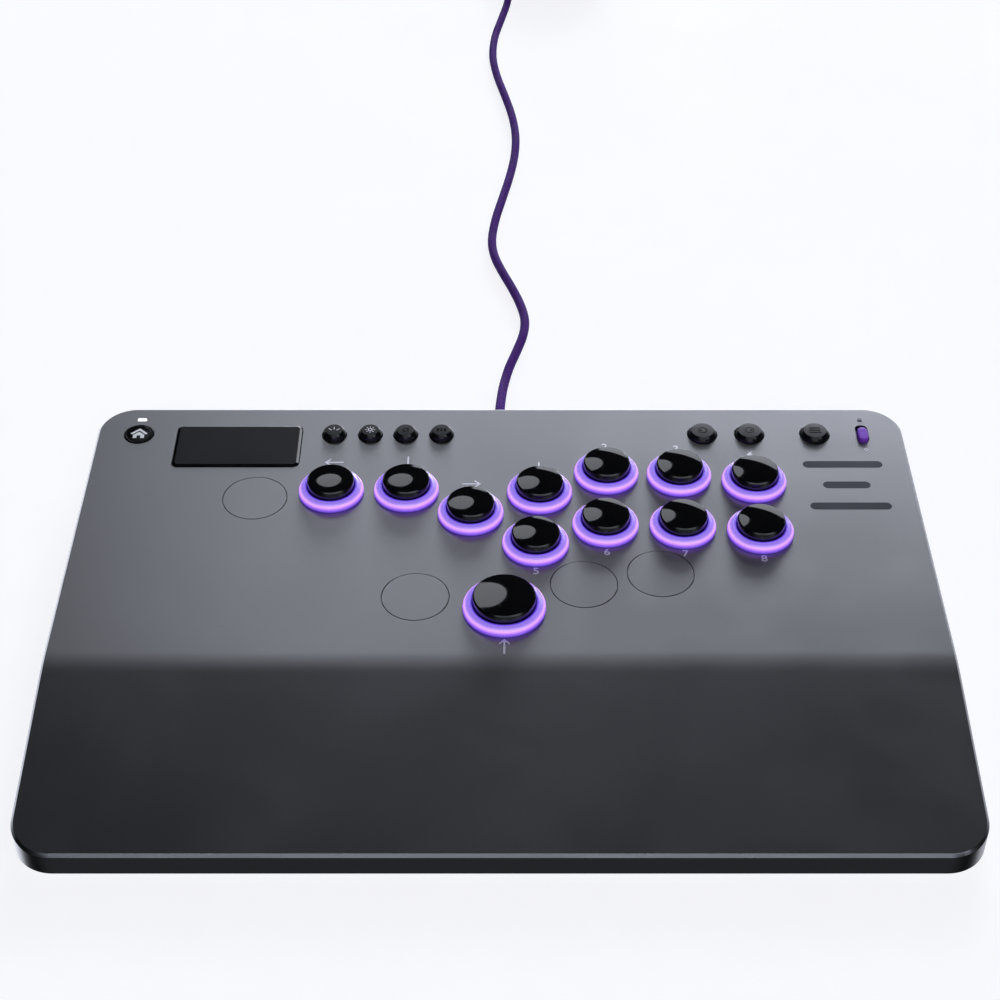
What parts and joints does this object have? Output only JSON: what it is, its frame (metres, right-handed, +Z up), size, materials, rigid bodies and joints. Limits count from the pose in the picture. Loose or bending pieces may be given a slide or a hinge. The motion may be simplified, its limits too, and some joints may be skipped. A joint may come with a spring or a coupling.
{
  "type": "arcade controller panel",
  "caption": "Low slab arcade controller with lit round push buttons in a finger-arc layout, sloping palm rest, touchpad, function keys, lock slider and a plug-in braided cord.",
  "frame": {"origin": "on the table under the middle of the case's footprint, cord left out", "axes": "+X to the player's right along the case's width, +Y away from the player to the rear edge where the cord leaves, +Z up"},
  "size_m": [0.401, 0.8665, 0.0339],
  "materials": {
    "case_metal": "fine bead-blasted, anodised gunmetal, polished edge chamfer",
    "blank_metal": "fine bead-blasted, anodised to match the case",
    "plate_paint": "satin black powder coat",
    "foot_rubber": "matte, fine grain",
    "screw_steel": "black oxide",
    "socket_steel": "plated",
    "plug_metal": "plated",
    "circuit_board": "solder mask",
    "cap_gloss": "high gloss",
    "home_gloss": "high gloss",
    "ring_light": "frosted, lit from inside",
    "light_pipe": "frosted, lit from inside",
    "key_matte": "satin",
    "touchpad_matte": "soft matte",
    "slider_purple": "satin",
    "cord_braid": "woven braid",
    "plug_mould": "fine texture"
  },
  "bodies": {
    "case": {"top_case": "case_metal", "bottom_plate": "plate_paint", "foot_strip_front": "foot_rubber", "foot_strip_rear": "foot_rubber", "main_board": "circuit_board", "function_board": "circuit_board", "usb_socket": "socket_steel", "light_pipe": "light_pipe", "ring_left": "ring_light", "ring_down": "ring_light", "ring_right": "ring_light", "ring_jump": "ring_light", "ring_action_1": "ring_light", "ring_action_2": "ring_light", "ring_action_3": "ring_light", "ring_action_4": "ring_light", "ring_action_5": "ring_light", "ring_action_6": "ring_light", "ring_action_7": "ring_light", "ring_action_8": "ring_light", "blank_plug_1": "blank_metal", "blank_plug_2": "blank_metal", "blank_plug_3": "blank_metal", "blank_plug_4": "blank_metal", "case_screw_1": "screw_steel", "case_screw_2": "screw_steel", "case_screw_3": "screw_steel", "case_screw_4": "screw_steel", "case_screw_5": "screw_steel", "case_screw_6": "screw_steel", "board_screw_1": "screw_steel", "board_screw_2": "screw_steel", "board_screw_3": "screw_steel", "plug_device": "plug_mould", "cord_run": "cord_braid", "cord_coil": "cord_braid", "cord_tail": "cord_braid", "plug_far_end": "plug_mould"},
    "button_left": {"cap_left": "cap_gloss"},
    "button_down": {"cap_down": "cap_gloss"},
    "button_right": {"cap_right": "cap_gloss"},
    "button_jump": {"cap_jump": "cap_gloss"},
    "button_action_1": {"cap_action_1": "cap_gloss"},
    "button_action_2": {"cap_action_2": "cap_gloss"},
    "button_action_3": {"cap_action_3": "cap_gloss"},
    "button_action_4": {"cap_action_4": "cap_gloss"},
    "button_action_5": {"cap_action_5": "cap_gloss"},
    "button_action_6": {"cap_action_6": "cap_gloss"},
    "button_action_7": {"cap_action_7": "cap_gloss"},
    "button_action_8": {"cap_action_8": "cap_gloss"},
    "key_light": {"key_light": "key_matte"},
    "key_profile": {"key_profile": "key_matte"},
    "key_mute": {"key_mute": "key_matte"},
    "key_share": {"key_share": "key_matte"},
    "key_stick_left": {"key_stick_left": "key_matte"},
    "key_stick_right": {"key_stick_right": "key_matte"},
    "key_menu": {"key_menu": "key_matte"},
    "key_home": {"key_home": "home_gloss"},
    "touchpad": {"touchpad": "touchpad_matte"},
    "lock_slider": {"lock_slider": "slider_purple"}
  },
  "joints": [
    {"name": "press_left", "type": "slide", "parent": "case", "child": "button_left", "axis": [0, 0, -1], "range_m": [0, 0.003], "stiffness_N_per_m": 120, "springref_m": -0.002},
    {"name": "press_down", "type": "slide", "parent": "case", "child": "button_down", "axis": [0, 0, -1], "range_m": [0, 0.003], "stiffness_N_per_m": 120, "springref_m": -0.002},
    {"name": "press_right", "type": "slide", "parent": "case", "child": "button_right", "axis": [0, 0, -1], "range_m": [0, 0.003], "stiffness_N_per_m": 120, "springref_m": -0.002},
    {"name": "press_jump", "type": "slide", "parent": "case", "child": "button_jump", "axis": [0, 0, -1], "range_m": [0, 0.003], "stiffness_N_per_m": 130, "springref_m": -0.002},
    {"name": "press_action_1", "type": "slide", "parent": "case", "child": "button_action_1", "axis": [0, 0, -1], "range_m": [0, 0.003], "stiffness_N_per_m": 120, "springref_m": -0.002},
    {"name": "press_action_2", "type": "slide", "parent": "case", "child": "button_action_2", "axis": [0, 0, -1], "range_m": [0, 0.003], "stiffness_N_per_m": 120, "springref_m": -0.002},
    {"name": "press_action_3", "type": "slide", "parent": "case", "child": "button_action_3", "axis": [0, 0, -1], "range_m": [0, 0.003], "stiffness_N_per_m": 120, "springref_m": -0.002},
    {"name": "press_action_4", "type": "slide", "parent": "case", "child": "button_action_4", "axis": [0, 0, -1], "range_m": [0, 0.003], "stiffness_N_per_m": 120, "springref_m": -0.002},
    {"name": "press_action_5", "type": "slide", "parent": "case", "child": "button_action_5", "axis": [0, 0, -1], "range_m": [0, 0.003], "stiffness_N_per_m": 120, "springref_m": -0.002},
    {"name": "press_action_6", "type": "slide", "parent": "case", "child": "button_action_6", "axis": [0, 0, -1], "range_m": [0, 0.003], "stiffness_N_per_m": 120, "springref_m": -0.002},
    {"name": "press_action_7", "type": "slide", "parent": "case", "child": "button_action_7", "axis": [0, 0, -1], "range_m": [0, 0.003], "stiffness_N_per_m": 120, "springref_m": -0.002},
    {"name": "press_action_8", "type": "slide", "parent": "case", "child": "button_action_8", "axis": [0, 0, -1], "range_m": [0, 0.003], "stiffness_N_per_m": 120, "springref_m": -0.002},
    {"name": "press_key_light", "type": "slide", "parent": "case", "child": "key_light", "axis": [0, 0, -1], "range_m": [0, 0.0008], "stiffness_N_per_m": 800, "springref_m": -0.0006},
    {"name": "press_key_profile", "type": "slide", "parent": "case", "child": "key_profile", "axis": [0, 0, -1], "range_m": [0, 0.0008], "stiffness_N_per_m": 800, "springref_m": -0.0006},
    {"name": "press_key_mute", "type": "slide", "parent": "case", "child": "key_mute", "axis": [0, 0, -1], "range_m": [0, 0.0008], "stiffness_N_per_m": 800, "springref_m": -0.0006},
    {"name": "press_key_share", "type": "slide", "parent": "case", "child": "key_share", "axis": [0, 0, -1], "range_m": [0, 0.0008], "stiffness_N_per_m": 800, "springref_m": -0.0006},
    {"name": "press_key_stick_left", "type": "slide", "parent": "case", "child": "key_stick_left", "axis": [0, 0, -1], "range_m": [0, 0.0008], "stiffness_N_per_m": 800, "springref_m": -0.0006},
    {"name": "press_key_stick_right", "type": "slide", "parent": "case", "child": "key_stick_right", "axis": [0, 0, -1], "range_m": [0, 0.0008], "stiffness_N_per_m": 800, "springref_m": -0.0006},
    {"name": "press_key_menu", "type": "slide", "parent": "case", "child": "key_menu", "axis": [0, 0, -1], "range_m": [0, 0.0008], "stiffness_N_per_m": 800, "springref_m": -0.0006},
    {"name": "press_key_home", "type": "slide", "parent": "case", "child": "key_home", "axis": [0, 0, -1], "range_m": [0, 0.0006], "stiffness_N_per_m": 800, "springref_m": -0.0006},
    {"name": "press_touchpad", "type": "slide", "parent": "case", "child": "touchpad", "axis": [0, 0, -1], "range_m": [0, 0.0004], "stiffness_N_per_m": 1500, "springref_m": -0.0006},
    {"name": "slide_lock", "type": "slide", "parent": "case", "child": "lock_slider", "axis": [0, 1, 0], "range_m": [0, 0.0032]}
  ]
}
